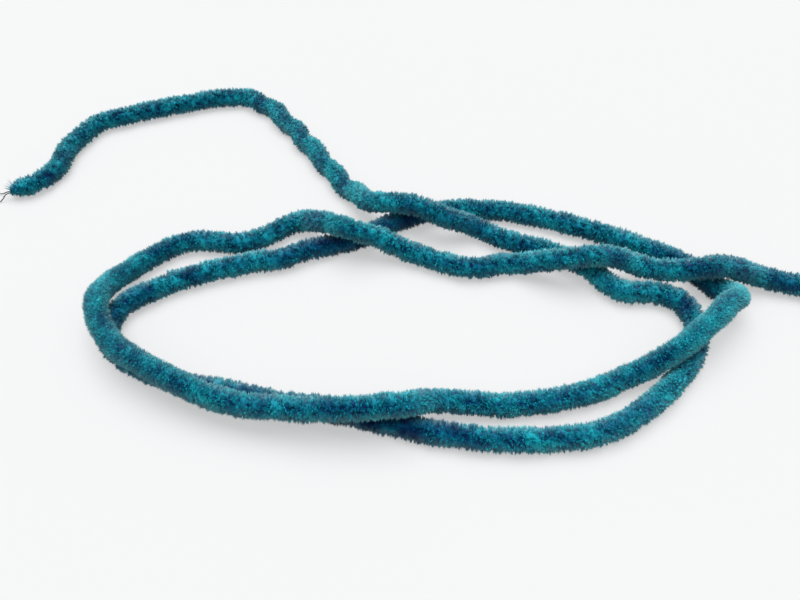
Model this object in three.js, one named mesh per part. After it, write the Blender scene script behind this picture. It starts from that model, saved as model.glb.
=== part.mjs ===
// Chenille yarn: one limp length of thick pile yarn, lying on a surface in two loops that cross themselves.
// Millimetres, +Z up. The origin is on the surface, below the middle of the yarn's box.
import * as THREE from "three";

// Driving dimensions
const YARN_DIAMETER = 5.6; // over the pile
const REST_HEIGHT = 2.5; // the yarn's middle where it lies on the surface, its underside pressed flat
const SECTION_SIDES = 12;
const SECTION_STEP = 2.5; // between sections along the yarn
const TWIST_PITCH = 11.5; // one turn of the furrow that the twist leaves in the pile
const TWIST_START = 4.7; // where the furrow first comes round below
const FURROW = 0.15; // how much nearer the middle the furrow is than the lobe beside it
const DEEP_FURROW = { from: 80, to: 152, ease: 8, depth: 0.8, step: 1.25 }; // where the twist shows plainly
const END_ROUNDING = 3; // length over which a cut end draws in
const END_SCALE = 0.45; // the cut end's radius beside the full radius
const THREAD_DIAMETER = 0.4; // core threads, where they leave the cut end
const THREAD_SIDES = 6;
const THREAD_STEPS = 6;

const MEAN_LOBE = 2 / Math.PI; // keeps the mean radius whatever the furrow's depth
const R = REST_HEIGHT;

// The route of the yarn's middle from the frayed end: x and y along the surface, z over it.
// A z over R is in a long low hump, where the yarn rides over another strand of its own.
const ROUTE = [
  // Frayed end and outer strand
  [-115.9, 17.2, R], [-109, 21.4, R], [-105, 27, R], [-103.8, 36, R], [-97.3, 47.4, R], [-90, 50.8, R],
  [-57, 60, R], [-48, 56.2, R], [-38.8, 45.7, R], [-21, 19.5, R],
  // Over the inner loop, then down beside it
  [-13, 9.7, 6.6], [-3.5, 6.6, 8.8], [6, 3.3, 7.2], [14.5, 3.2, 3.2], [22, -0.8, R], [32, -4.3, R],
  [42.9, -10.9, R], [46.6, -15.7, R], [50.9, -18.5, R], [57, -18.4, R], [64.1, -22, R], [65.7, -30.2, R],
  // Along the near side, under the outer loop
  [61.7, -39.7, R], [50.9, -50.5, R], [39, -57.5, R], [26, -59.6, R], [9, -59, R], [-11, -54.9, R],
  [-22, -52, R], [-35, -50.1, R], [-44.5, -47.7, R], [-56, -45.2, R], [-70.6, -38.4, R], [-76.6, -31, R],
  // Inner loop back along the far side
  [-75, -23.4, R], [-64, -15.4, R], [-46, -9, R], [-37, -7.3, R], [-30.5, -4.4, R], [-18.5, -0.8, R],
  [-5, 7, R], [6, 10.2, R], [22, 10, R], [44, 3.3, R], [58, -3.4, R], [67.7, -9.5, R], [71, -14, R],
  // Folded back over itself and over the first strand
  [73.6, -17.1, 2.7], [75.6, -19.3, 3.8], [76.4, -21.6, 5.5], [75.5, -24.1, 7.3], [72.8, -26.5, 8.6],
  [66, -33, 8.9], [57.5, -39.3, 7.3], [48.5, -42.9, 3.4],
  // Outer loop, riding on the strand along the near side and round the left end
  [34, -48.5, R], [18, -50.9, R], [3, -51, 4.6], [-5.5, -54.4, 8.7], [-17, -55.4, 8.8], [-32, -54.6, 7.5],
  [-45, -52.2, 6.8], [-59, -46.4, 8.4], [-73, -37.1, 8.6], [-78.9, -25.1, 8.1], [-78.3, -17.8, 5.1],
  // Back along the far side, over the inner loop, the first strand and the inner loop again
  [-72, -8, R], [-62, -1.4, R], [-48, -1.8, R], [-40.6, 1.2, R], [-36.3, 4.7, R], [-32, 5.2, 3.6],
  [-26, 1.7, 7], [-19, -2.6, 8.9], [-11.5, -3.2, 6.2], [-3, -5.5, 3], [12, -10.4, R], [23, -9.1, R],
  [31, -11, 5.9], [40, -12.2, 9], [48, -11.3, 7.7], [56, -12, 4.7], [62.5, -15.1, 7], [69, -15.9, 9],
  [76.5, -14.8, 7.9], [85.5, -14.2, 3.4], [97, -17, R], [120, -24, R],
];

// Two core threads that fork from the frayed end and droop to the surface.
const CORE_THREADS = [
  { name: "core_thread_far", points: [[-116.75, 17.5, 2.4], [-117.75, 18.05, 1.3], [-119.4, 19, 0.4]] },
  { name: "core_thread_near", points: [[-116.6, 16.7, 2.1], [-117.5, 16.4, 1], [-118.4, 15.6, 0.35]] },
];

const pileTeal = new THREE.MeshStandardMaterial({ color: 0x0c6069, roughness: 0.95, metalness: 0 });
const threadNavy = new THREE.MeshStandardMaterial({ color: 0x1b2a3c, roughness: 0.8, metalness: 0 });

/** A smooth open curve through rows of [x, y, z]. */
function curveThrough(rows) {
  const points = rows.map((row) => new THREE.Vector3(...row));
  const curve = new THREE.CatmullRomCurve3(points, false, "centripetal");
  curve.arcLengthDivisions = 60 * rows.length;
  return curve;
}

/** Distances of the sections from the start: close where a cut end draws in or the twist shows. */
function sectionDistances(length) {
  const closeSteps = [0, 0.15, 0.45, 1].map((part) => part * END_ROUNDING);
  const stops = [END_ROUNDING, DEEP_FURROW.from, DEEP_FURROW.to, length - END_ROUNDING];
  const steps = [SECTION_STEP, DEEP_FURROW.step, SECTION_STEP];
  const between = steps.flatMap((step, s) => {
    const count = Math.round((stops[s + 1] - stops[s]) / step);
    return Array.from({ length: count }, (_, i) => stops[s] + ((i + 1) * (stops[s + 1] - stops[s])) / count);
  });
  return [...closeSteps, ...between, ...closeSteps.map((part) => length - part).reverse().slice(1)];
}

/** How much of its full radius the yarn has at this distance from its nearer end. */
function endScale(distance) {
  const drawnIn = 1 - Math.min(distance / END_ROUNDING, 1);
  return END_SCALE + (1 - END_SCALE) * Math.sqrt(1 - drawnIn * drawnIn);
}

/** How deep the twist's furrow is at this distance from the start. */
function furrowDepth(distance) {
  const inside = Math.min(distance - DEEP_FURROW.from, DEEP_FURROW.to - distance) / DEEP_FURROW.ease;
  return FURROW + (DEEP_FURROW.depth - FURROW) * Math.min(Math.max(inside, 0), 1);
}

/** One section of the yarn: its points around the middle, none below the surface. */
function yarnSection(route, length, distance) {
  const along = distance / length;
  const middle = route.getPointAt(along);
  middle.z = Math.max(middle.z, REST_HEIGHT);
  const forward = route.getTangentAt(along);
  const side = new THREE.Vector3().crossVectors(forward, new THREE.Vector3(0, 0, 1)).normalize();
  const up = new THREE.Vector3().crossVectors(side, forward);
  const scale = endScale(Math.min(distance, length - distance));
  const twist = (2 * Math.PI * (distance - TWIST_START)) / TWIST_PITCH;
  const ring = [];
  for (let i = 0; i < SECTION_SIDES; i += 1) {
    const angle = (2 * Math.PI * (i + 0.5)) / SECTION_SIDES;
    const lobe = Math.abs(Math.cos((angle - twist) / 2)) - MEAN_LOBE;
    const radius = scale * (YARN_DIAMETER / 2 + furrowDepth(distance) * lobe);
    const point = middle.clone()
      .addScaledVector(up, radius * Math.cos(angle))
      .addScaledVector(side, radius * Math.sin(angle));
    point.z = Math.max(point.z, 0);
    ring.push(point);
  }
  return ring;
}

/** A closed body through rings of points that run the same way round, with a flat fan over each end. */
function loft(rings) {
  const sides = rings[0].length;
  const points = rings.flat();
  const faces = [];
  for (let r = 0; r + 1 < rings.length; r += 1) {
    for (let i = 0; i < sides; i += 1) {
      const a = r * sides + i;
      const b = r * sides + ((i + 1) % sides);
      faces.push(a, b, a + sides, b, b + sides, a + sides);
    }
  }
  const last = (rings.length - 1) * sides;
  for (let i = 1; i + 1 < sides; i += 1) {
    faces.push(0, i + 1, i);
    faces.push(last, last + i, last + i + 1);
  }
  const geometry = new THREE.BufferGeometry().setFromPoints(points);
  geometry.setIndex(faces);
  geometry.computeVertexNormals();
  return geometry;
}

/** The whole yarn as one body. */
function yarnGeometry() {
  const route = curveThrough(ROUTE);
  const length = route.getLength();
  return loft(sectionDistances(length).map((distance) => yarnSection(route, length, distance)));
}

/** A thin round thread through a few points. */
function threadGeometry(points) {
  const corner = (i) => (2 * Math.PI * i) / THREAD_SIDES;
  const outline = Array.from({ length: THREAD_SIDES }, (_, i) =>
    new THREE.Vector2(Math.cos(corner(i)), Math.sin(corner(i))).multiplyScalar(THREAD_DIAMETER / 2));
  return new THREE.ExtrudeGeometry(new THREE.Shape(outline), {
    steps: THREAD_STEPS,
    extrudePath: curveThrough(points),
  });
}

/** A named piece of the part. */
function piece(name, geometry, material) {
  const mesh = new THREE.Mesh(geometry, material);
  mesh.name = name;
  return mesh;
}

const group = new THREE.Group();
group.add(piece("yarn", yarnGeometry(), pileTeal));
for (const thread of CORE_THREADS) {
  group.add(piece(thread.name, threadGeometry(thread.points), threadNavy));
}

export default group;
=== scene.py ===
"""Looks of the chenille yarn: a dense velvety pile round a thin core.

It lies in two loose loops on a pale surface. All lengths are in metres.
"""

import logging
import math
from dataclasses import dataclass

import bpy
import numpy as np
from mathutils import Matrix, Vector, noise


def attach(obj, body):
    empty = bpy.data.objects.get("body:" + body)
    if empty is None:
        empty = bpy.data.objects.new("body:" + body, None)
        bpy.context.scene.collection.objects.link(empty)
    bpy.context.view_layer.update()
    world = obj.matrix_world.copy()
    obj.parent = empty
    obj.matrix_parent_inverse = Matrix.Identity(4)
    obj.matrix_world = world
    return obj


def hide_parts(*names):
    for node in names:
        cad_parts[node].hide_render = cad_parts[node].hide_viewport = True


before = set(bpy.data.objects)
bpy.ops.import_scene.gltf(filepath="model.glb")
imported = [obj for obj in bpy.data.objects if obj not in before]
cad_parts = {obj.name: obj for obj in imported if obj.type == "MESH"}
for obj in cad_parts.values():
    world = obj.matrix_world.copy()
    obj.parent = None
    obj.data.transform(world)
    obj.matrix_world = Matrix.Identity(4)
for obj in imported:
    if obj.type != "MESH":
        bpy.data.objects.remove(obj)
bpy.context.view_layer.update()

log = logging.getLogger("chenille")

BODY = "root"
REST_HEIGHT = 0.0025
TWIST_PITCH = 0.0115
TWIST_START = 0.0047
PATH_STEP = 0.002

# The yarn's middle line, in given points. R is its height where it rests on the surface.
R = REST_HEIGHT
ROUTE = (
    # Frayed end and outer strand
    (-0.1159, 0.0172, R), (-0.109, 0.0214, R), (-0.105, 0.027, R), (-0.1038, 0.036, R),
    (-0.0973, 0.0474, R), (-0.09, 0.0508, R), (-0.057, 0.06, R), (-0.048, 0.0562, R),
    (-0.0388, 0.0457, R), (-0.021, 0.0195, R),
    # Over the inner loop, then down beside it
    (-0.013, 0.0097, 0.0066), (-0.0035, 0.0066, 0.0088), (0.006, 0.0033, 0.0072),
    (0.0145, 0.0032, 0.0032), (0.022, -0.0008, R), (0.032, -0.0043, R), (0.0429, -0.0109, R),
    (0.0466, -0.0157, R), (0.0509, -0.0185, R), (0.057, -0.0184, R), (0.0641, -0.022, R),
    (0.0657, -0.0302, R),
    # Along the near side, under the outer loop
    (0.0617, -0.0397, R), (0.0509, -0.0505, R), (0.039, -0.0575, R), (0.026, -0.0596, R),
    (0.009, -0.059, R), (-0.011, -0.0549, R), (-0.022, -0.052, R), (-0.035, -0.0501, R),
    (-0.0445, -0.0477, R), (-0.056, -0.0452, R), (-0.0706, -0.0384, R), (-0.0766, -0.031, R),
    # Inner loop back along the far side
    (-0.075, -0.0234, R), (-0.064, -0.0154, R), (-0.046, -0.009, R), (-0.037, -0.0073, R),
    (-0.0305, -0.0044, R), (-0.0185, -0.0008, R), (-0.005, 0.007, R), (0.006, 0.0102, R),
    (0.022, 0.01, R), (0.044, 0.0033, R), (0.058, -0.0034, R), (0.0677, -0.0095, R),
    (0.071, -0.014, R),
    # Folded back over itself and over the first strand
    (0.0736, -0.0171, 0.0027), (0.0756, -0.0193, 0.0038), (0.0764, -0.0216, 0.0055),
    (0.0755, -0.0241, 0.0073), (0.0728, -0.0265, 0.0086), (0.066, -0.033, 0.0089),
    (0.0575, -0.0393, 0.0073), (0.0485, -0.0429, 0.0034),
    # Outer loop, riding on the strand along the near side and round the left end
    (0.034, -0.0485, R), (0.018, -0.0509, R), (0.003, -0.051, 0.0046), (-0.0055, -0.0544, 0.0087),
    (-0.017, -0.0554, 0.0088), (-0.032, -0.0546, 0.0075), (-0.045, -0.0522, 0.0068),
    (-0.059, -0.0464, 0.0084), (-0.073, -0.0371, 0.0086), (-0.0789, -0.0251, 0.0081),
    (-0.0783, -0.0178, 0.0051),
    # Back along the far side, over the inner loop, the first strand and the inner loop again
    (-0.072, -0.008, R), (-0.062, -0.0014, R), (-0.048, -0.0018, R), (-0.0406, 0.0012, R),
    (-0.0363, 0.0047, R), (-0.032, 0.0052, 0.0036), (-0.026, 0.0017, 0.007),
    (-0.019, -0.0026, 0.0089), (-0.0115, -0.0032, 0.0062), (-0.003, -0.0055, 0.003),
    (0.012, -0.0104, R), (0.023, -0.0091, R), (0.031, -0.011, 0.0059), (0.04, -0.0122, 0.009),
    (0.048, -0.0113, 0.0077), (0.056, -0.012, 0.0047), (0.0625, -0.0151, 0.007),
    (0.069, -0.0159, 0.009), (0.0765, -0.0148, 0.0079), (0.0855, -0.0142, 0.0034),
    (0.097, -0.017, R), (0.12, -0.024, R),
)

# Where each core thread lies, by its node, from inside the pile to its tip.
THREAD_ROUTES = {
    "core_thread_far": ((-0.1138, 0.0184, 0.0025), (-0.1166, 0.0175, 0.0023),
                        (-0.11775, 0.01805, 0.0013), (-0.1194, 0.019, 0.0004)),
    "core_thread_near": ((-0.1138, 0.0181, 0.0024), (-0.1165, 0.0168, 0.0021),
                         (-0.1175, 0.0164, 0.001), (-0.1184, 0.0156, 0.00035)),
}

# Stretches of the yarn, as distances from the frayed end: how much lighter the pile is there than
# elsewhere (darker under 0), and how plainly it parts into clumps. It is darkest under another strand,
# where the dark is painted shade.
PILE_STRETCHES = (
    (0.000, 0.0, 1.0), (0.110, 0.0, 1.0), (0.126, 0.2, 0.9), (0.150, 0.15, 0.9), (0.160, -0.1, 1.0),
    (0.195, -0.1, 1.0), (0.212, 0.25, 0.9), (0.224, 0.2, 0.9), (0.234, -0.1, 1.0), (0.246, -0.2, 1.0),
    (0.251, -0.7, 1.0), (0.258, 0.1, 1.0), (0.310, 0.0, 1.0), (0.325, -0.8, 1.0), (0.345, -0.8, 1.0),
    (0.360, -0.2, 1.0), (0.398, -0.3, 1.0), (0.412, -0.5, 1.0), (0.424, -0.1, 1.0), (0.455, 0.0, 1.0),
    (0.465, -0.7, 1.0), (0.478, -0.9, 1.0), (0.484, -0.5, 1.0), (0.494, -0.9, 1.0), (0.506, 0.0, 1.0),
    (0.562, 0.0, 1.0), (0.570, -0.8, 1.0), (0.579, -0.8, 0.8), (0.583, 0.3, 0.5), (0.606, 0.3, 0.3),
    (0.640, 0.0, 0.8), (0.715, 0.0, 0.8), (0.735, 0.05, 0.4), (0.785, 0.05, 0.4), (0.800, -0.1, 1.0),
    (0.850, 0.05, 1.0), (0.930, -0.05, 1.0), (0.944, -0.25, 1.0), (0.965, -0.2, 1.0), (0.985, 0.0, 1.0),
)

# Tips of the long bristles at the frayed end, and the place that they spring from.
BRISTLE_ROOT = (-0.1146, 0.0182, 0.003)
BRISTLE_TIPS = (
    (-0.1180, 0.0200, 0.0029), (-0.1176, 0.0192, 0.0026), (-0.1172, 0.0204, 0.0035),
    (-0.1166, 0.0207, 0.0042), (-0.1179, 0.0194, 0.0021), (-0.1161, 0.0208, 0.0047),
    (-0.1170, 0.0195, 0.0033), (-0.1174, 0.0186, 0.0030),
)


def colour(red: int, green: int, blue: int) -> tuple[float, float, float, float]:
    """A colour given as screen values from 0 to 255.

    Args:
        red: Red on the screen.
        green: Green on the screen.
        blue: Blue on the screen.

    Returns:
        The linear colour with full alpha.
    """
    def linear(value: int) -> float:
        """One channel made linear."""
        part = value / 255
        return part / 12.92 if part <= 0.04045 else ((part + 0.055) / 1.055) ** 2.4

    return linear(red), linear(green), linear(blue), 1.0


def join(tree: bpy.types.NodeTree, start: bpy.types.NodeSocket, end: bpy.types.NodeSocket) -> None:
    """Links one socket to another."""
    tree.links.new(start, end)


def set_input(tree: bpy.types.NodeTree, socket: bpy.types.NodeSocket, value: object) -> None:
    """Links a socket to an input, or gives the input its value.

    Args:
        tree: The tree.
        socket: The input.
        value: A socket of another node, or a value of the input's own kind.
    """
    if isinstance(value, bpy.types.NodeSocket):
        join(tree, value, socket)
    else:
        socket.default_value = value


def maths(tree: bpy.types.NodeTree, operation: str, *values: object,
          clamp: bool = False) -> bpy.types.NodeSocket:
    """The result of a Math node in a material.

    Args:
        tree: The material's tree.
        operation: What the node does.
        values: What its inputs get, sockets or numbers.
        clamp: Whether the result is kept from 0 to 1.

    Returns:
        The result.
    """
    made = tree.nodes.new("ShaderNodeMath")
    made.operation = operation
    made.use_clamp = clamp
    for socket, value in zip(made.inputs, values):
        set_input(tree, socket, value)
    return made.outputs[0]


def blend(tree: bpy.types.NodeTree, share: bpy.types.NodeSocket, first: object,
          second: object) -> bpy.types.NodeSocket:
    """A mix of two colours in a material.

    Args:
        tree: The material's tree.
        share: How much of the second colour there is.
        first: The first colour, or a socket that gives it.
        second: The second.

    Returns:
        The mixed colour.
    """
    made = tree.nodes.new("ShaderNodeMix")
    made.data_type = "RGBA"
    for number, value in ((0, share), (6, first), (7, second)):
        set_input(tree, made.inputs[number], value)
    return made.outputs[2]


def noise_share(tree: bpy.types.NodeTree, scale: float) -> bpy.types.NodeSocket:
    """A noise on Object coordinates in a material.

    Args:
        tree: The material's tree.
        scale: How fine the noise is.

    Returns:
        The noise, from 0 to 1.
    """
    place = tree.nodes.new("ShaderNodeTexCoord")
    made = tree.nodes.new("ShaderNodeTexNoise")
    made.inputs["Scale"].default_value = scale
    join(tree, place.outputs["Object"], made.inputs["Vector"])
    return made.outputs["Fac"]


def new_material(name: str,
                 roughness: float) -> tuple[bpy.types.Material, bpy.types.NodeTree, bpy.types.Node]:
    """A new material with this roughness.

    Args:
        name: The material's name.
        roughness: The shader's roughness.

    Returns:
        The material, its tree and its shader.
    """
    made = bpy.data.materials.new(name)
    made.use_nodes = True
    shader = made.node_tree.nodes["Principled BSDF"]
    shader.inputs["Roughness"].default_value = roughness
    return made, made.node_tree, shader


def mesh_object(name: str, points: np.ndarray, faces: list[tuple[int, ...]]) -> bpy.types.Object:
    """An object at the origin with this mesh, shaded smooth.

    Args:
        name: The object's name.
        points: Its points in metres, one row each.
        faces: Its faces, as indices of points.

    Returns:
        The new object, in the scene.
    """
    mesh = bpy.data.meshes.new(name)
    mesh.from_pydata(np.asarray(points).reshape(-1, 3).tolist(), [], faces)
    mesh.shade_smooth()
    thing = bpy.data.objects.new(name, mesh)
    bpy.context.scene.collection.objects.link(thing)
    return thing


def tube_faces(rings: int, sides: int, start: int = 0,
               closed: tuple[bool, bool] = (True, True)) -> list[tuple[int, ...]]:
    """Faces that join rings of points into a tube.

    Args:
        rings: How many rings there are, one after another.
        sides: Points in a ring.
        start: Index of the first point.
        closed: Whether the first and the last ring get an end face.

    Returns:
        The faces, as indices of points.
    """
    last = start + (rings - 1) * sides
    faces = []
    for ring in range(start, last, sides):
        for side in range(sides):
            here, beside = ring + side, ring + (side + 1) % sides
            faces.append((here, beside, beside + sides, here + sides))
    if closed[0]:
        faces.append(tuple(reversed(range(start, start + sides))))
    if closed[1]:
        faces.append(tuple(range(last, last + sides)))
    return faces


@dataclass(frozen=True)
class Route:
    """A smooth line through given points.

    Attributes:
        points: The points, in metres.
        floor: The least height of the line.
    """

    points: tuple[tuple[float, float, float], ...]
    floor: float = 0.0

    def smooth(self, per_gap: int = 60) -> np.ndarray:
        """Centripetal Catmull-Rom points.

        Args:
            per_gap: How many points between neighbouring route points.

        Returns:
            The points, one row each.
        """
        rows = np.array(self.points, float)
        rows = np.vstack([2 * rows[0] - rows[1], rows, 2 * rows[-1] - rows[-2]])
        t = np.linspace(0, 1, per_gap, endpoint=False)[:, None]
        parts = []
        for before, start, end, after in zip(rows, rows[1:], rows[2:], rows[3:]):
            gap0, gap1, gap2 = (math.sqrt(np.linalg.norm(b - a))
                                for a, b in ((before, start), (start, end), (end, after)))
            leave = (start - before) / gap0 - (end - before) / (gap0 + gap1) + (end - start) / gap1
            arrive = (end - start) / gap1 - (after - start) / (gap1 + gap2) + (after - end) / gap2
            leave, arrive = leave * gap1, arrive * gap1
            parts.append(start + leave * t + (3 * (end - start) - 2 * leave - arrive) * t**2
                         + (2 * (start - end) + leave + arrive) * t**3)
        parts.append(rows[-2:-1])
        line = np.vstack(parts)
        line[:, 2] = np.maximum(line[:, 2], self.floor)
        return line

    def even(self, step: float) -> tuple[np.ndarray, np.ndarray]:
        """Points at even distances.

        Args:
            step: About how far apart they are.

        Returns:
            The points, and each one's distance from the start.
        """
        line = self.smooth()
        run = np.r_[0, np.cumsum(np.linalg.norm(np.diff(line, axis=0), axis=1))]
        along = np.linspace(0, run[-1], max(2, round(run[-1] / step) + 1))
        return np.column_stack([np.interp(along, run, line[:, k]) for k in range(3)]), along


def level_frames(line: np.ndarray) -> tuple[np.ndarray, np.ndarray, np.ndarray]:
    """Forward, side and up directions along a line, with side always level.

    Args:
        line: Points along the line.

    Returns:
        The three directions at each point.
    """
    forward = np.gradient(line, axis=0)
    forward /= np.linalg.norm(forward, axis=1)[:, None]
    side = np.cross(forward, (0.0, 0.0, 1.0))
    side /= np.linalg.norm(side, axis=1)[:, None]
    return forward, side, np.cross(side, forward)


@dataclass(frozen=True)
class PileFinish:
    """Dyed velvety pile in uneven patches, lightest on the flanks, with painted shade between the fibres and
    at their ends.

    Attributes:
        root: Painted shade deep in the pile, between the fibres.
        dark: Colour of the flanks in a dark patch.
        light: Colour of the flanks in a light patch.
        rise: How much of the flanks' colour shows along a fibre, rather than root's painted shade, as rows of
            place and share. It is less at the cut end, where shade is painted too.
        painted_shade_rate: How fast the flanks take on root's painted shade where a patch goes darker than
            dark.
        sheen: Colour that the pile takes at grazing angles.
        sheen_fall: How fast the sheen falls off away from grazing angles.
        whole: How far the pile takes light as one round surface, rather than as single fibres.
        roughness: Roughness of the fibres.
        specular: Their gloss.
        sheen_roughness: How broad the sheen is.
    """

    # Painted shade: root is the colour that stands in for the shade deep in the pile
    root: tuple[float, float, float, float] = colour(0, 50, 104)
    dark: tuple[float, float, float, float] = colour(0, 125, 160)
    light: tuple[float, float, float, float] = colour(36, 224, 236)
    rise: tuple[tuple[float, float], ...] = ((0.22, 0.0), (0.62, 1.0), (0.82, 0.75), (1.0, 0.3))
    painted_shade_rate: float = 1.4
    sheen: tuple[float, float, float, float] = colour(205, 252, 255)
    sheen_fall: float = 1.4
    whole: float = 0.5
    roughness: float = 0.8
    specular: float = 0.1
    sheen_roughness: float = 0.9

    def material(self, name: str) -> bpy.types.Material:
        """The finish as a material.

        Args:
            name: The material's name.

        Returns:
            A material that reads the attributes "tip", "patch", "shade" and "outward".
        """
        made, tree, shader = new_material(name, self.roughness)
        tip, patch, shade = (self.attribute(tree, known) for known in ("tip", "patch", "shade"))
        flank = blend(tree, maths(tree, "ADD", patch, shade, clamp=True), self.dark, self.light)
        # Painted shade: a fibre's root and cut end, and a patch under 0, sink towards root's painted shade
        shade_free = maths(tree, "MULTIPLY_ADD", patch, self.painted_shade_rate, 1.0, clamp=True)
        shown = maths(tree, "MULTIPLY", self.along_fibre(tree, tip), shade_free)
        join(tree, blend(tree, shown, self.root, flank), shader.inputs["Base Color"])
        shader.inputs["Specular IOR Level"].default_value = self.specular
        shader.inputs["Sheen Roughness"].default_value = self.sheen_roughness
        shader.inputs["Sheen Tint"].default_value = self.sheen
        self.add_round_shading(tree, shader)
        return made

    def along_fibre(self, tree: bpy.types.NodeTree, tip: bpy.types.NodeSocket) -> bpy.types.NodeSocket:
        """How much of the flanks' colour shows at this place along a fibre, rather than root's painted shade.

        Args:
            tree: The material's tree.
            tip: How far the place is towards the fibre's tip.

        Returns:
            The share.
        """
        made = tree.nodes.new("ShaderNodeValToRGB")
        stops = made.color_ramp.elements
        ready = len(stops)
        for number, (place, share) in enumerate(self.rise):
            stop = stops[number] if number < ready else stops.new(place)
            stop.position, stop.color = place, (share, share, share, 1)
        join(tree, tip, made.inputs["Fac"])
        return made.outputs["Color"]

    def add_round_shading(self, tree: bpy.types.NodeTree, shader: bpy.types.Node) -> None:
        """Gives the round pile its velvet sheen, and turns the fibres' shading part of the way to its own.

        Args:
            tree: The material's tree.
            shader: Its shader.
        """
        outward = tree.nodes.new("ShaderNodeAttribute")
        outward.attribute_name = "outward"
        grazing = tree.nodes.new("ShaderNodeLayerWeight")
        grazing.inputs["Blend"].default_value = 0.5
        join(tree, outward.outputs["Vector"], grazing.inputs["Normal"])
        velvet = maths(tree, "POWER", grazing.outputs["Facing"], self.sheen_fall)
        join(tree, velvet, shader.inputs["Sheen Weight"])
        fibre = tree.nodes.new("ShaderNodeNewGeometry")
        mix = tree.nodes.new("ShaderNodeMix")
        mix.data_type = "VECTOR"
        mix.inputs[0].default_value = self.whole
        even = tree.nodes.new("ShaderNodeVectorMath")
        even.operation = "NORMALIZE"
        join(tree, fibre.outputs["Normal"], mix.inputs[4])
        join(tree, outward.outputs["Vector"], mix.inputs[5])
        join(tree, mix.outputs[1], even.inputs[0])
        join(tree, even.outputs[0], shader.inputs["Normal"])

    @staticmethod
    def attribute(tree: bpy.types.NodeTree, name: str) -> bpy.types.NodeSocket:
        """The value of a piece's own attribute.

        Args:
            tree: The material's tree.
            name: The attribute.

        Returns:
            Its value as a number.
        """
        read = tree.nodes.new("ShaderNodeAttribute")
        read.attribute_name = name
        return read.outputs["Fac"]


@dataclass(frozen=True)
class BristleFinish:
    """Pale bare fibres.

    Attributes:
        pale: Their colour.
        roughness: Their roughness.
        sheen: Their sheen.
    """

    pale: tuple[float, float, float, float] = colour(96, 158, 178)
    roughness: float = 0.7
    sheen: float = 0.3

    def material(self, name: str) -> bpy.types.Material:
        """The finish as a material.

        Args:
            name: The material's name.

        Returns:
            A plain matt material.
        """
        made, _, shader = new_material(name, self.roughness)
        shader.inputs["Base Color"].default_value = self.pale
        shader.inputs["Sheen Weight"].default_value = self.sheen
        return made


@dataclass(frozen=True)
class ThreadFinish:
    """Dark spun thread.

    Attributes:
        dark: Its darkest colour.
        light: Its lightest colour.
        streaks: Fineness of its streaks.
        roughness: Its roughness.
        sheen: Its sheen.
    """

    dark: tuple[float, float, float, float] = colour(16, 24, 38)
    light: tuple[float, float, float, float] = colour(52, 74, 96)
    streaks: float = 4000.0
    roughness: float = 0.8
    sheen: float = 0.3

    def material(self, name: str) -> bpy.types.Material:
        """The finish as a material.

        Args:
            name: The material's name.

        Returns:
            A material with fine streaks.
        """
        made, tree, shader = new_material(name, self.roughness)
        streaked = blend(tree, noise_share(tree, self.streaks), self.dark, self.light)
        join(tree, streaked, shader.inputs["Base Color"])
        shader.inputs["Sheen Weight"].default_value = self.sheen
        return made


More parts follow.
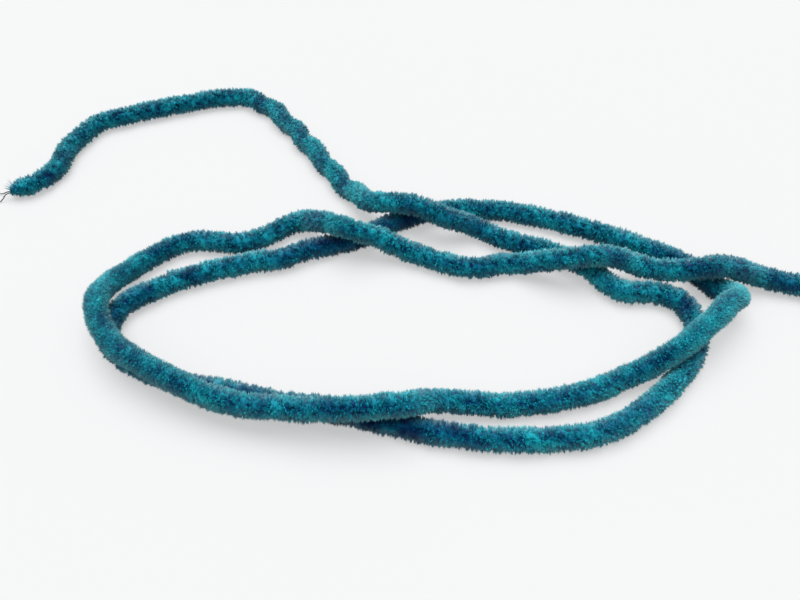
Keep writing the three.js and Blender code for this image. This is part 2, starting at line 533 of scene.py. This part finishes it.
@dataclass
class YarnShape:
    """The outside of the pile.

    It is furrowed by the twist, parted into clumps, uneven in thickness and flat where it lies.

    Attributes:
        route: Where the yarn lies.
        mean_radius: Radius of the pile.
        sides: Points round a section.
        step: Distance between sections.
        furrow: Depth of the twist's furrow.
        deep_furrow: Depth of the furrow where the twist shows plainly.
        twist_shows: Where it does, as distances from the start.
        ease: Length over which the furrow deepens.
        clump: Length of a clump of fibres along the yarn.
        clumps_around: Clumps round the yarn.
        clump_rise: How far a clump stands above the parting round it.
        parting_share: Share of that rise by which the partings lie under the mean radius.
        parting_width: Width of a parting beside a clump.
        clump_spread: How far the clumps differ in height.
        gather: How far the fibres of a clump lean together.
        stray: How far a clump leans its own way.
        swell: How far the thickness wanders.
        swell_length: Length over which it does.
        patch: Size of a light or dark patch.
        patch_fall: How much fainter its finer parts are.
        patch_mean: Mean lightness of the patches.
        patch_contrast: How far they differ.
        darkest: The least lightness; under 0 the pile shows painted shade.
        clump_tint: How far the clumps differ in lightness.
        twist_painted_shade: Painted light and shade: how far one side of the twist is lighter than the other.
        furrow_painted_shade: How much more painted light and shade there is, where the furrow is deepest.
        body_tip: The closed body's place along a fibre, at a parting and on a clump, painting shade in
            partings.
        bare: Length of bare core at the frayed end.
        rounding: Length over which a cut end draws in.
        end_scale: Radius of the cut end beside the full radius.
        fray: Length over which the frayed end's pile thins and sweeps back along the threads.
        sweep: How far it sweeps back at the very end.
    """

    route: Route
    mean_radius: float = 0.0029
    sides: int = 44
    step: float = 0.0003
    furrow: float = 0.00015
    deep_furrow: float = 0.0009
    twist_shows: tuple[float, float] = (0.080, 0.152)
    ease: float = 0.008
    clump: float = 0.00085
    clumps_around: int = 13
    clump_rise: float = 0.00045
    parting_share: float = 0.6
    parting_width: float = 0.45
    clump_spread: float = 0.0005
    gather: float = 0.9
    stray: float = 0.35
    swell: float = 0.00026
    swell_length: float = 0.005
    patch: float = 0.0042
    patch_fall: float = 0.9
    patch_mean: float = 0.45
    patch_contrast: float = 0.62
    darkest: float = -0.7
    clump_tint: float = 0.3
    # Painted light and shade: one side of each turn of the twist is lighter, the other darker
    twist_painted_shade: float = 0.1
    furrow_painted_shade: float = 0.25
    body_tip: tuple[float, float] = (0.15, 0.5)
    bare: float = 0.0012
    rounding: float = 0.0035
    end_scale: float = 0.45
    fray: float = 0.0045
    sweep: float = 0.35

    def __post_init__(self) -> None:
        """Works out the surface once."""
        self.line, self.along = self.route.even(self.step)
        self.start = round(self.bare / self.step)
        self.forward, side, up = level_frames(self.line)
        angle = 2 * math.pi * (np.arange(self.sides) + 0.5) / self.sides
        cos, sin = (part[None, :, None] for part in (np.cos(angle), np.sin(angle)))
        self.outward = up[:, None] * cos + side[:, None] * sin
        self.around = side[:, None] * cos - up[:, None] * sin
        turn = angle[None] - (2 * math.pi * (self.along - TWIST_START) / TWIST_PITCH)[:, None]
        depth = self.furrow_depth()[:, None]
        mean_lobe = 2 / math.pi
        lobe = np.abs(np.cos(turn / 2)) - mean_lobe
        wander, patches = self.slow_noises(angle)
        self.edge, chance, ahead, aside = self.clumps(angle)
        # The stretches' lightness, with painted shade where the yarn lies under another strand
        where, lighter, parting = zip(*PILE_STRETCHES)
        lighter, parting = (np.interp(self.along, where, row)[:, None] for row in (lighter, parting))
        taller, paler = (chance[..., number] - 0.5 for number in range(2))
        height = self.clump_rise * (self.edge - self.parting_share) + self.clump_spread * taller
        self.radius = self.mean_radius + depth * lobe + height * parting + self.swell * wander
        # Painted light and shade on the twist's turns, stronger in the deep furrow
        twist_shading = (self.twist_painted_shade + self.furrow_painted_shade * depth / self.deep_furrow) * np.sin(turn)
        by_clump = self.clump_tint * parting * paler
        # Painted shade under other strands and on the twist, added to the random patches and clumps
        self.patches = np.clip(patches + lighter + twist_shading + by_clump, self.darkest, 1)
        along_lean = parting * (self.gather * ahead + self.stray * (2 * chance[..., 2] - 1))
        around_lean = parting * (self.gather * aside + self.stray * (2 * chance[..., 3] - 1))
        along_lean -= self.sweep * self.frayed()[:, None]
        self.lean = self.forward[:, None] * along_lean[..., None] + self.around * around_lean[..., None]

    def furrow_depth(self) -> np.ndarray:
        """Depth of the twist's furrow at each section."""
        start, end = self.twist_shows
        inside = np.clip(np.minimum(self.along - start, end - self.along) / self.ease, 0, 1)
        return self.furrow + (self.deep_furrow - self.furrow) * inside

    def slow_noises(self, angle: np.ndarray) -> tuple[np.ndarray, np.ndarray]:
        """Slow changes in the pile, which run on smoothly round the yarn.

        Args:
            angle: The angles round a section.

        Returns:
            Swelling from -1 to 1, and the lightness of the patches, mostly from 0 to 1.
        """
        apart, octaves = 9, 3
        wander, patches = (np.empty((len(self.along), len(angle))) for _ in range(2))
        across = [(math.cos(a), math.sin(a)) for a in angle]
        girth = self.mean_radius / self.patch
        for i, distance in enumerate(self.along):
            for j, (x, y) in enumerate(across):
                wander[i, j] = noise.noise(Vector((distance / self.swell_length, x, y)))
                place = Vector((distance / self.patch, girth * x, apart + girth * y))
                patches[i, j] = noise.fractal(place, self.patch_fall, 2.0, octaves)
        return wander, self.patch_mean + self.patch_contrast * patches

    def clumps(self, angle: np.ndarray) -> tuple[np.ndarray, np.ndarray, np.ndarray, np.ndarray]:
        """The clumps that the fibres of the pile stand in.

        Args:
            angle: The angles round a section.

        Returns:
            For each point, 0 at a parting to 1 within a clump, four chance numbers of its clump, and how far
            ahead along the yarn and on round it the clump's middle is, in clumps.
        """
        seed, spare_rows, margin = 5, 4, 0.1
        chooser = np.random.default_rng(seed)
        rows, columns = int(self.along[-1] / self.clump) + spare_rows, self.clumps_around
        middles = chooser.uniform(margin, 1 - margin, (rows, columns, 2))
        chances = chooser.uniform(size=(rows, columns, 4))
        ahead, aside = np.meshgrid(self.along / self.clump + 1, angle / (2 * math.pi) * columns,
                                   indexing="ij")
        row, column = ahead.astype(int), aside.astype(int)
        nearest, second = (np.full(ahead.shape, math.inf) for _ in range(2))
        picked = np.zeros((*ahead.shape, 6))
        for down in (-1, 0, 1):
            for across in (-1, 0, 1):
                at = row + down, (column + across) % columns
                to_middle = np.stack([row + down + middles[at][..., 0] - ahead,
                                      column + across + middles[at][..., 1] - aside], axis=-1)
                far = np.linalg.norm(to_middle, axis=-1)
                closer = far < nearest
                second = np.where(closer, nearest, np.minimum(second, far))
                nearest = np.where(closer, far, nearest)
                known = np.concatenate([chances[at], to_middle], axis=-1)
                picked = np.where(closer[..., None], known, picked)
        edge = np.clip((second - nearest) / self.parting_width, 0, 1)
        return edge, picked[..., :4], picked[..., 4], picked[..., 5]

    def frayed(self) -> np.ndarray:
        """How frayed the pile is at each section: 1 at its end, 0 away from it."""
        return np.clip(1 - (self.along - self.bare) / self.fray, 0, 1)

    def end_draw(self) -> np.ndarray:
        """Share of the full radius at each section, which is 1 away from the ends."""
        drawn = 1 - np.minimum((self.along[-1] - self.along) / self.rounding, 1)
        full = np.minimum(1 - self.frayed()**2, np.sqrt(1 - drawn**2))
        return self.end_scale + (1 - self.end_scale) * full

    def tube(self, name: str, first: int, last: int, every: int, depth: float) -> bpy.types.Object:
        """A tube under the pile's outside, with its attributes.

        Args:
            name: The object's name.
            first: Its first section.
            last: Its last section.
            every: Takes each section and side of this number.
            depth: How far it lies under the outside.

        Returns:
            The new object, closed at the yarn's own ends.
        """
        rows = slice(first, last + 1, every)
        radius = (self.radius - depth) * self.end_draw()[:, None]
        points = (self.line[:, None] + self.outward * radius[..., None])[rows, ::every]
        points[..., 2] = np.maximum(points[..., 2], 0.0)
        closed = (first == self.start, last >= len(self.line) - every)
        thing = mesh_object(name, points, tube_faces(*points.shape[:2], closed=closed))
        # Painted shade: in the partings the body takes root's painted shade
        parted, whole = self.body_tip
        for known, values in (("tip", parted + (whole - parted) * self.edge), ("patch", self.patches),
                              ("shade", np.zeros_like(self.edge))):
            made = thing.data.attributes.new(known, "FLOAT", "POINT")
            made.data.foreach_set("value", values[rows, ::every].astype(np.float32).ravel())
        forward = np.repeat(self.forward[:, None], self.sides, axis=1)
        for known, values in (("outward", self.outward), ("forward", forward), ("lean", self.lean)):
            made = thing.data.attributes.new(known, "FLOAT_VECTOR", "POINT")
            made.data.foreach_set("vector", values[rows, ::every].astype(np.float32).ravel())
        return thing


class PileTree:
    """The Geometry Nodes tree that stands tufts and loose fibres on a surface."""

    NUMBERS = ("Tufts per square metre", "Tuft length", "Tuft root radius", "Tuft radius",
               "Fibres per square metre", "Fibre length", "Fibre radius", "Fibre rise")
    # How far up a tuft its shoulder is, and how long a loose fibre's run of colour is beside the fibre
    SHOULDER = 0.8
    COLOUR_RUN = 1.3
    # How much a single tuft or fibre leans, turns and differs in lightness of its own
    STRAY = 0.2
    ROLL = 0.5
    SHADE = 0.45
    # Least and greatest width along the yarn, width round it, and length, each beside its mean, and the
    # number that sets its draw apart
    SIZES = ((0.55, 0.85, 4), (0.9, 1.6, 5), (0.82, 1.15, 3))
    # Nothing grows below this height on a face that looks down more steeply than this
    RESTING_HEIGHT = 0.0003
    STEEPLY_DOWN = -0.8
    # Least height of the pile's points
    FLOOR_GAP = 0.00002
    # Numbers that set the draws of the tufts and the loose fibres apart
    TUFT_SALT = 100
    FIBRE_SALT = 200

    def __init__(self) -> None:
        """Builds the tree."""
        self.tree = bpy.data.node_groups.new("pile_tufts", "GeometryNodeTree")
        face = self.tree.interface
        face.new_socket("Surface", in_out="INPUT", socket_type="NodeSocketGeometry")
        for name in self.NUMBERS:
            face.new_socket(name, in_out="INPUT", socket_type="NodeSocketFloat")
        face.new_socket("Seed", in_out="INPUT", socket_type="NodeSocketInt")
        face.new_socket("Finish", in_out="INPUT", socket_type="NodeSocketMaterial")
        face.new_socket("Pile", in_out="OUTPUT", socket_type="NodeSocketGeometry")
        self.given = self.node("NodeGroupInput").outputs
        self.add_nodes()

    def node(self, kind: str, **settings: object) -> bpy.types.Node:
        """A new node of this kind with its settings.

        Args:
            kind: The node's type.
            settings: Its properties by name.

        Returns:
            The node.
        """
        made = self.tree.nodes.new(kind)
        for name, value in settings.items():
            setattr(made, name, value)
        return made

    def feed(self, made: bpy.types.Node, **values: object) -> bpy.types.Node:
        """Links sockets to a node's inputs, or sets their values.

        Args:
            made: The node.
            values: What each input gets, by its name with _ for a space.

        Returns:
            The node.
        """
        for name, value in values.items():
            socket = made.inputs[int(name[1:])] if name[1:].isdigit() else made.inputs[name.replace("_", " ")]
            set_input(self.tree, socket, value)
        return made

    def math(self, operation: str, first: object, second: object) -> bpy.types.NodeSocket:
        """The result of a Math node on two sockets or numbers."""
        return self.feed(self.node("ShaderNodeMath", operation=operation), i0=first, i1=second).outputs[0]

    def vector(self, operation: str, first: object, second: object) -> bpy.types.NodeSocket:
        """The result of a Vector Math node on two sockets or values; a scaling's second is a number."""
        made = self.feed(self.node("ShaderNodeVectorMath", operation=operation), i0=first)
        return self.feed(made, **{"Scale" if operation == "SCALE" else "i1": second}).outputs[0]

    def random(self, low: float, high: float, salt: int) -> bpy.types.NodeSocket:
        """A random number for each point.

        Args:
            low: The least.
            high: The most.
            salt: Sets this draw apart from the others.

        Returns:
            The number.
        """
        made = self.node("FunctionNodeRandomValue", data_type="FLOAT")
        return self.feed(made, i2=low, i3=high, Seed=self.math("ADD", self.given["Seed"], salt)).outputs[1]

    def named(self, name: str, kind: str) -> bpy.types.NodeSocket:
        """The value of a named attribute of this kind."""
        return self.feed(self.node("GeometryNodeInputNamedAttribute", data_type=kind), Name=name).outputs[0]

    def up(self, kind: str) -> bpy.types.NodeSocket:
        """The upward part of a vector that this kind of input node gives."""
        made = self.node("ShaderNodeSeparateXYZ")
        join(self.tree, self.node(kind).outputs[0], made.inputs[0])
        return made.outputs["Z"]

    def keep(self, shape: bpy.types.NodeSocket, name: str,
             value: bpy.types.NodeSocket) -> bpy.types.NodeSocket:
        """Stores a number on each point under a name."""
        made = self.node("GeometryNodeStoreNamedAttribute", data_type="FLOAT", domain="POINT")
        return self.feed(made, Geometry=shape, Name=name, Value=value).outputs[0]

    def spike(self, bottom: object, top: object, depth: object) -> bpy.types.NodeSocket:
        """A three-sided open cone."""
        made = self.node("GeometryNodeMeshCone", fill_type="NONE")
        return self.feed(made, Vertices=3, Side_Segments=1, Radius_Bottom=bottom, Radius_Top=top,
                         Depth=depth).outputs["Mesh"]

    def with_tip(self, shape: bpy.types.NodeSocket, length: bpy.types.NodeSocket) -> bpy.types.NodeSocket:
        """Lets each point of a tuft know how far it is towards the tip, as a share of this length."""
        return self.keep(shape, "tip", self.math("DIVIDE", self.up("GeometryNodeInputPosition"), length))

    def tuft(self) -> bpy.types.NodeSocket:
        """A tuft: narrow at its root, widest at its shoulder, pointed at its tip.

        Returns:
            The tuft's shape.
        """
        length, radius = self.given["Tuft length"], self.given["Tuft radius"]
        shoulder = self.math("MULTIPLY", length, self.SHOULDER)
        stem = self.spike(self.given["Tuft root radius"], radius, shoulder)
        head = self.spike(radius, 0.0, self.math("MULTIPLY", length, 1 - self.SHOULDER))
        lift = self.feed(self.node("ShaderNodeCombineXYZ"), Z=shoulder)
        raised = self.feed(self.node("GeometryNodeSetPosition"), Geometry=head, Offset=lift.outputs[0])
        both = self.node("GeometryNodeJoinGeometry")
        join(self.tree, stem, both.inputs[0])
        join(self.tree, raised.outputs[0], both.inputs[0])
        return self.with_tip(both.outputs[0], length)

    def direction(self) -> bpy.types.NodeSocket:
        """Which way each tuft points: outwards, with its clump's lean and a little of its own.

        Returns:
            The direction.
        """
        stray = self.node("FunctionNodeRandomValue", data_type="FLOAT_VECTOR")
        self.feed(stray, Min=3 * (-self.STRAY,), Max=3 * (self.STRAY,), Seed=self.given["Seed"])
        away = self.vector("ADD", self.named("outward", "FLOAT_VECTOR"), self.named("lean", "FLOAT_VECTOR"))
        return self.vector("ADD", away, stray.outputs["Value"])

    def layer(self, density: bpy.types.NodeSocket, shape: bpy.types.NodeSocket,
              depth: bpy.types.NodeSocket, salt: int) -> bpy.types.NodeSocket:
        """Stands copies of a shape on the surface.

        Args:
            density: How many to the square metre.
            shape: The tuft or fibre.
            depth: How far its root is under the surface.
            salt: Sets this layer's draws apart.

        Returns:
            The copies as real geometry.
        """
        height, slope = (self.up(f"GeometryNodeInput{known}") for known in ("Position", "Normal"))
        open_to_view = self.math("MAXIMUM", self.math("GREATER_THAN", height, self.RESTING_HEIGHT),
                                 self.math("GREATER_THAN", slope, self.STEEPLY_DOWN))
        scatter = self.node("GeometryNodeDistributePointsOnFaces", distribute_method="RANDOM")
        self.feed(scatter, Mesh=self.given["Surface"], Selection=open_to_view, Density=density,
                  Seed=self.math("ADD", self.given["Seed"], salt))
        pointing = self.feed(self.node("FunctionNodeAlignRotationToVector", axis="Z"),
                             Vector=self.direction())
        lined_up = self.node("FunctionNodeAlignRotationToVector", axis="X", pivot_axis="Z")
        self.feed(lined_up, Rotation=pointing.outputs["Rotation"],
                  Vector=self.named("forward", "FLOAT_VECTOR"))
        roll = self.feed(self.node("ShaderNodeCombineXYZ"), Z=self.random(-self.ROLL, self.ROLL, salt + 1))
        spin = self.feed(self.node("FunctionNodeEulerToRotation"), Euler=roll.outputs[0]).outputs[0]
        turned = self.node("FunctionNodeRotateRotation", rotation_space="LOCAL")
        self.feed(turned, Rotation=lined_up.outputs["Rotation"], Rotate_By=spin)
        along, across, length = (self.random(least, most, salt + draw) for least, most, draw in self.SIZES)
        size = self.feed(self.node("ShaderNodeCombineXYZ"), X=along, Y=across, Z=length)
        inward = self.vector("SCALE", self.named("outward", "FLOAT_VECTOR"),
                             self.math("MULTIPLY", depth, -1.0))
        rooted = self.feed(self.node("GeometryNodeSetPosition"), Geometry=scatter.outputs["Points"],
                           Offset=inward)
        shaded = self.keep(rooted.outputs[0], "shade", self.random(-self.SHADE, self.SHADE, salt + 2))
        stand = self.node("GeometryNodeInstanceOnPoints")
        self.feed(stand, Points=shaded, Instance=shape, Rotation=turned.outputs[0], Scale=size.outputs[0])
        return self.feed(self.node("GeometryNodeRealizeInstances"), Geometry=stand.outputs[0]).outputs[0]

    def add_nodes(self) -> None:
        """Builds the tree from its input to its output."""
        tree = self.tree
        both = self.node("GeometryNodeJoinGeometry")
        tufts = self.layer(self.given["Tufts per square metre"], self.tuft(), self.given["Tuft length"],
                           self.TUFT_SALT)
        length = self.given["Fibre length"]
        fibre = self.with_tip(self.spike(self.given["Fibre radius"], 0.0, length),
                              self.math("MULTIPLY", length, self.COLOUR_RUN))
        fibre_root = self.math("SUBTRACT", length, self.given["Fibre rise"])
        fibres = self.layer(self.given["Fibres per square metre"], fibre, fibre_root, self.FIBRE_SALT)
        join(tree, tufts, both.inputs[0])
        join(tree, fibres, both.inputs[0])
        split = self.node("ShaderNodeSeparateXYZ")
        join(tree, self.node("GeometryNodeInputPosition").outputs[0], split.inputs[0])
        level = self.node("ShaderNodeCombineXYZ")
        self.feed(level, X=split.outputs["X"], Y=split.outputs["Y"],
                  Z=self.math("MAXIMUM", split.outputs["Z"], self.FLOOR_GAP))
        pressed = self.feed(self.node("GeometryNodeSetPosition"), Geometry=both.outputs[0],
                            Position=level.outputs[0])
        dress = self.feed(self.node("GeometryNodeSetMaterial"), Geometry=pressed.outputs[0],
                          Material=self.given["Finish"])
        join(tree, dress.outputs[0], self.node("NodeGroupOutput").inputs["Pile"])

    def grow(self, name: str, surface: bpy.types.Object, values: dict[str, object]) -> bpy.types.Object:
        """Turns a surface into the pile that stands on it.

        Args:
            name: The new piece's name.
            surface: The object it stands on, which is used up.
            values: The tree's inputs by name.

        Returns:
            The pile as a plain mesh object.
        """
        modifier = surface.modifiers.new("pile", "NODES")
        modifier.node_group = self.tree
        for item in self.tree.interface.items_tree:
            if item.in_out == "INPUT" and item.name in values:
                modifier[item.identifier] = values[item.name]
        surface.update_tag()
        seen = surface.evaluated_get(bpy.context.evaluated_depsgraph_get())
        mesh = bpy.data.meshes.new_from_object(seen)
        mesh.name = name
        piece = bpy.data.objects.new(name, mesh)
        bpy.context.scene.collection.objects.link(piece)
        bpy.data.objects.remove(surface)
        return piece


@dataclass
class Yarn:
    """The whole chenille yarn.

    Attributes:
        shape: The outside of its pile.
        stretches: How many pieces the tufts are made in.
        body_depth: How far the closed pile lies under the outside.
        body_step: The closed pile takes each section and side of this number.
        tufts: Tufts to the square metre.
        tuft_length: Length of a tuft.
        tuft_root_radius: Its radius at the root.
        tuft_radius: Its radius at the shoulder.
        fibres: Loose fibres to the square metre.
        fibre_length: Length of a loose fibre.
        fibre_radius: Its radius at the root.
        fibre_rise: How far the loose fibres stand above the tufts.
        seed: The first stretch's seed.
        seed_step: How far apart the seeds of neighbouring stretches are.
    """

    shape: YarnShape
    stretches: int = 6
    body_depth: float = 0.0006
    body_step: int = 4
    tufts: float = 1.1e6
    tuft_length: float = 0.0011
    tuft_root_radius: float = 0.00016
    tuft_radius: float = 0.0003
    fibres: float = 11.2e6
    fibre_length: float = 0.0014
    fibre_radius: float = 0.00017
    fibre_rise: float = 0.0002
    seed: int = 11
    seed_step: int = 1000

    def build(self) -> list[bpy.types.Object]:
        """Makes the closed pile and the tufts on it, dressed.

        Returns:
            The closed pile first, then the stretches of tufts and the bristles.
        """
        finish = PileFinish().material("chenille_pile")
        start, last_section = self.shape.start, len(self.shape.line) - 1
        whole = self.shape.tube("yarn_body", start, last_section, self.body_step, self.body_depth)
        whole.data.materials.append(finish)
        pieces = [whole]
        tree = PileTree()
        cuts = np.linspace(start, last_section, self.stretches + 1).round().astype(int)
        for number, (first, last) in enumerate(zip(cuts, cuts[1:])):
            surface = self.shape.tube(f"surface_{number}", first, last, 1, 0.0)
            values = {
                "Tufts per square metre": self.tufts,
                "Tuft length": self.tuft_length,
                "Tuft root radius": self.tuft_root_radius,
                "Tuft radius": self.tuft_radius,
                "Fibres per square metre": self.fibres,
                "Fibre length": self.fibre_length,
                "Fibre radius": self.fibre_radius,
                "Fibre rise": self.fibre_rise,
                "Seed": self.seed + self.seed_step * number,
                "Finish": finish,
            }
            pieces.append(tree.grow(f"yarn_pile_{number + 1}", surface, values))
        bristles = Bristles(BRISTLE_ROOT, BRISTLE_TIPS).build()
        bristles.data.materials.append(BristleFinish().material("bare_fibre"))
        return [*pieces, bristles]


@dataclass
class Bristles:
    """Long single fibres that stand out of the frayed end.

    Attributes:
        root: Where they spring from.
        tips: Where they end.
        radius: Their radius at the root.
        spread: How far apart they spring, as a share of how far apart they end.
        sides: Points round a bristle.
    """

    root: tuple[float, float, float]
    tips: tuple[tuple[float, float, float], ...]
    radius: float = 0.00017
    spread: float = 0.35
    sides: int = 5

    def build(self) -> bpy.types.Object:
        """The bristles as one mesh of slender cones.

        Returns:
            The new object.
        """
        points, faces = [], []
        middle = np.mean(self.tips, axis=0)
        angle = 2 * math.pi * np.arange(self.sides) / self.sides
        for tip in np.array(self.tips):
            root = np.array(self.root) + self.spread * (tip - middle)
            _, side, up = (part[0] for part in level_frames(np.array([root, tip])))
            start = len(points)
            ring = np.outer(np.cos(angle), side) + np.outer(np.sin(angle), up)
            points += [*(root + self.radius * ring), tip]
            faces += [(start + i, start + (i + 1) % self.sides, start + self.sides)
                      for i in range(self.sides)]
            faces.append(tuple(reversed(range(start, start + self.sides))))
        return mesh_object("yarn_bristles", np.array(points), faces)


@dataclass
class CoreThread:
    """A thin thread of two plies that comes out of the cut end.

    Attributes:
        name: The piece's name.
        node: The CAD node it stands for.
        route: Where it lies.
        ply_radius: Radius of one ply.
        pitch: Length of one turn of the plies.
        sides: Points round a ply.
        step: Distance between sections.
    """

    name: str
    node: str
    route: Route
    ply_radius: float = 0.00009
    pitch: float = 0.0011
    sides: int = 8
    step: float = 0.00012

    def build(self) -> bpy.types.Object:
        """The thread as one mesh of two twisted plies.

        Returns:
            The new object, which knows the node it stands for.
        """
        line, along = self.route.even(self.step)
        _, side, up = level_frames(line)
        points, faces = [], []
        for ply in range(2):
            turn = 2 * math.pi * along / self.pitch + math.pi * ply
            middle = line + self.ply_radius * (up * np.cos(turn)[:, None] + side * np.sin(turn)[:, None])
            angle = 2 * math.pi * np.arange(self.sides) / self.sides
            rings = middle[:, None] + self.ply_radius * (
                up[:, None] * np.cos(angle)[None, :, None] + side[:, None] * np.sin(angle)[None, :, None])
            points.append(rings.reshape(-1, 3))
            faces += tube_faces(len(line), self.sides, start=ply * len(line) * self.sides)
        thread = mesh_object(self.name, np.vstack(points), faces)
        thread["stands_for"] = self.node
        return thread


@dataclass(frozen=True)
class Studio:
    """A pale surface, soft light and the camera.

    Attributes:
        look_at: Where the camera looks, on the surface.
        away: Its distance from there.
        elevation: Its height over the surface, in degrees.
        lens: Its focal length in millimetres on a 36 mm sensor.
        glow: Painted light that the surface gives by itself, which the yarn's diffuse light doesn't see; it
            keeps the shadows pale.
        bounce: Share of the light that the surface throws back up to the yarn.
        above: Light of the room from straight above.
        level: Light of the room from the sides.
        key_from: Where the broad light comes from.
        key_spread: How wide it looks, in degrees.
        key_power: Its power in watts per square metre.
        reach: How far the surface reaches each way.
        bounce_depth: How far the plane that throws light back lies under it.
        matt: Roughness of both.
        gloss: Their gloss.
        surface: The two colours that the surface drifts between.
        drift: How fine that drift is.
    """

    look_at: tuple[float, float, float] = (-0.006, -0.019, 0.0)
    away: float = 0.1926
    elevation: float = 52.0
    lens: float = 34.2
    glow: float = 0.46
    bounce: float = 0.8
    above: float = 0.6
    level: float = 0.15
    key_from: tuple[float, float, float] = (-0.05, 0.3, 1.0)
    key_spread: float = 55.0
    key_power: float = 2.1
    reach: float = 3.0
    bounce_depth: float = 0.0001
    matt: float = 0.9
    gloss: float = 0.1
    surface: tuple[tuple[float, ...], ...] = ((0.425, 0.43, 0.435, 1), (0.44, 0.44, 0.445, 1))
    drift: float = 6.0

    def add_camera(self) -> None:
        """Places the camera at the photograph's angle."""
        data = bpy.data.cameras.new("camera")
        data.lens = self.lens
        data.sensor_width = 36.0
        data.clip_start = 0.01
        data.clip_end = 10.0
        camera = bpy.data.objects.new("camera", data)
        rise = math.radians(self.elevation)
        back = Vector((0.0, -math.cos(rise), math.sin(rise)))
        camera.location = Vector(self.look_at) + back * self.away
        camera.rotation_mode = "QUATERNION"
        camera.rotation_quaternion = (-back).to_track_quat("-Z", "Y")
        bpy.context.scene.collection.objects.link(camera)
        bpy.context.scene.camera = camera

    def plane(self, name: str,
              height: float) -> tuple[bpy.types.Object, bpy.types.NodeTree, bpy.types.Node]:
        """A wide level plane of the stage with a matt material.

        Args:
            name: The plane's name.
            height: Its height.

        Returns:
            The plane, its material's tree and shader.
        """
        corners = [(x * self.reach, y * self.reach, height) for x, y in ((-1, -1), (1, -1), (1, 1), (-1, 1))]
        plane = mesh_object(name, np.array(corners), [(0, 1, 2, 3)])
        made, tree, shader = new_material(name, self.matt)
        shader.inputs["Specular IOR Level"].default_value = self.gloss
        plane.data.materials.append(made)
        return plane, tree, shader

    def add_floor(self) -> None:
        """Lays the pale surface, painted to glow, and one just under it that throws light up to the yarn
        without the glow.
        """
        floor, tree, shader = self.plane("floor", 0.0)
        join(tree, blend(tree, noise_share(tree, self.drift), *self.surface), shader.inputs["Base Color"])
        # Painted light: the glow, hidden from the yarn's diffuse light, keeps the cast shadows pale
        shader.inputs["Emission Color"].default_value = (1, 1, 1, 1)
        shader.inputs["Emission Strength"].default_value = self.glow
        floor.visible_diffuse = False
        bounce, _, white = self.plane("floor_bounce", -self.bounce_depth)
        white.inputs["Base Color"].default_value = (*(3 * (self.bounce,)), 1)
        bounce.visible_camera = False

    def add_sun(self, name: str, towards: tuple[float, float, float], spread: float, power: float) -> None:
        """Adds one broad even light.

        Args:
            name: The light's name.
            towards: The direction that it comes from.
            spread: How wide it looks, in degrees.
            power: Its power in watts per square metre.
        """
        data = bpy.data.lights.new(name, "SUN")
        data.angle = math.radians(spread)
        data.energy = power
        lamp = bpy.data.objects.new(name, data)
        lamp.location = towards
        lamp.rotation_mode = "QUATERNION"
        lamp.rotation_quaternion = (-Vector(towards)).to_track_quat("-Z", "Y")
        bpy.context.scene.collection.objects.link(lamp)

    def add_light(self) -> None:
        """Lights the yarn softly, mostly from above and behind."""
        world = bpy.data.worlds.new("soft_room")
        world.use_nodes = True
        tree = world.node_tree
        place = tree.nodes.new("ShaderNodeTexCoord")
        split = tree.nodes.new("ShaderNodeSeparateXYZ")
        height = tree.nodes.new("ShaderNodeMapRange")
        height.inputs["To Min"].default_value = self.level
        height.inputs["To Max"].default_value = self.above
        join(tree, place.outputs["Generated"], split.inputs[0])
        join(tree, split.outputs["Z"], height.inputs["Value"])
        join(tree, height.outputs[0], tree.nodes["Background"].inputs["Strength"])
        tree.nodes["Background"].inputs["Color"].default_value = (1, 1, 1, 1)
        bpy.context.scene.world = world
        self.add_sun("key_light", self.key_from, self.key_spread, self.key_power)
        bpy.context.scene.view_settings.view_transform = "Standard"

    def build(self) -> None:
        """Makes the whole stage."""
        self.add_camera()
        self.add_floor()
        self.add_light()


def declare(pieces: list[bpy.types.Object], threads: list[bpy.types.Object], route: Route) -> None:
    """Attaches each piece and thread to the yarn's body, and hides the CAD parts that they stand in for.

    Args:
        pieces: The yarn's body, then its pile and its bristles.
        threads: The core threads.
        route: The line of the yarn's middle.
    """
    path, along = route.even(PATH_STEP)
    for piece in pieces:
        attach(piece, BODY)
        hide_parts("yarn")
    for thread in threads:
        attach(thread, BODY)
        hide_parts(thread["stands_for"])


def main() -> None:
    """Builds the stage, then the yarn and its core threads, and reports each."""
    logging.basicConfig(level=logging.INFO, format="%(name)s: %(message)s")
    Studio().build()
    route = Route(ROUTE, REST_HEIGHT)
    pieces = Yarn(YarnShape(route)).build()
    spun = ThreadFinish().material("core_thread")
    threads = []
    for node, points in THREAD_ROUTES.items():
        thread = CoreThread(f"{node}_plies", node, Route(points)).build()
        thread.data.materials.append(spun)
        threads.append(thread)
    declare(pieces, threads, route)
    for piece in [*pieces, *threads]:
        log.info("%s: %d faces", piece.name, len(piece.data.polygons))


if __name__ == "__main__":
    main()
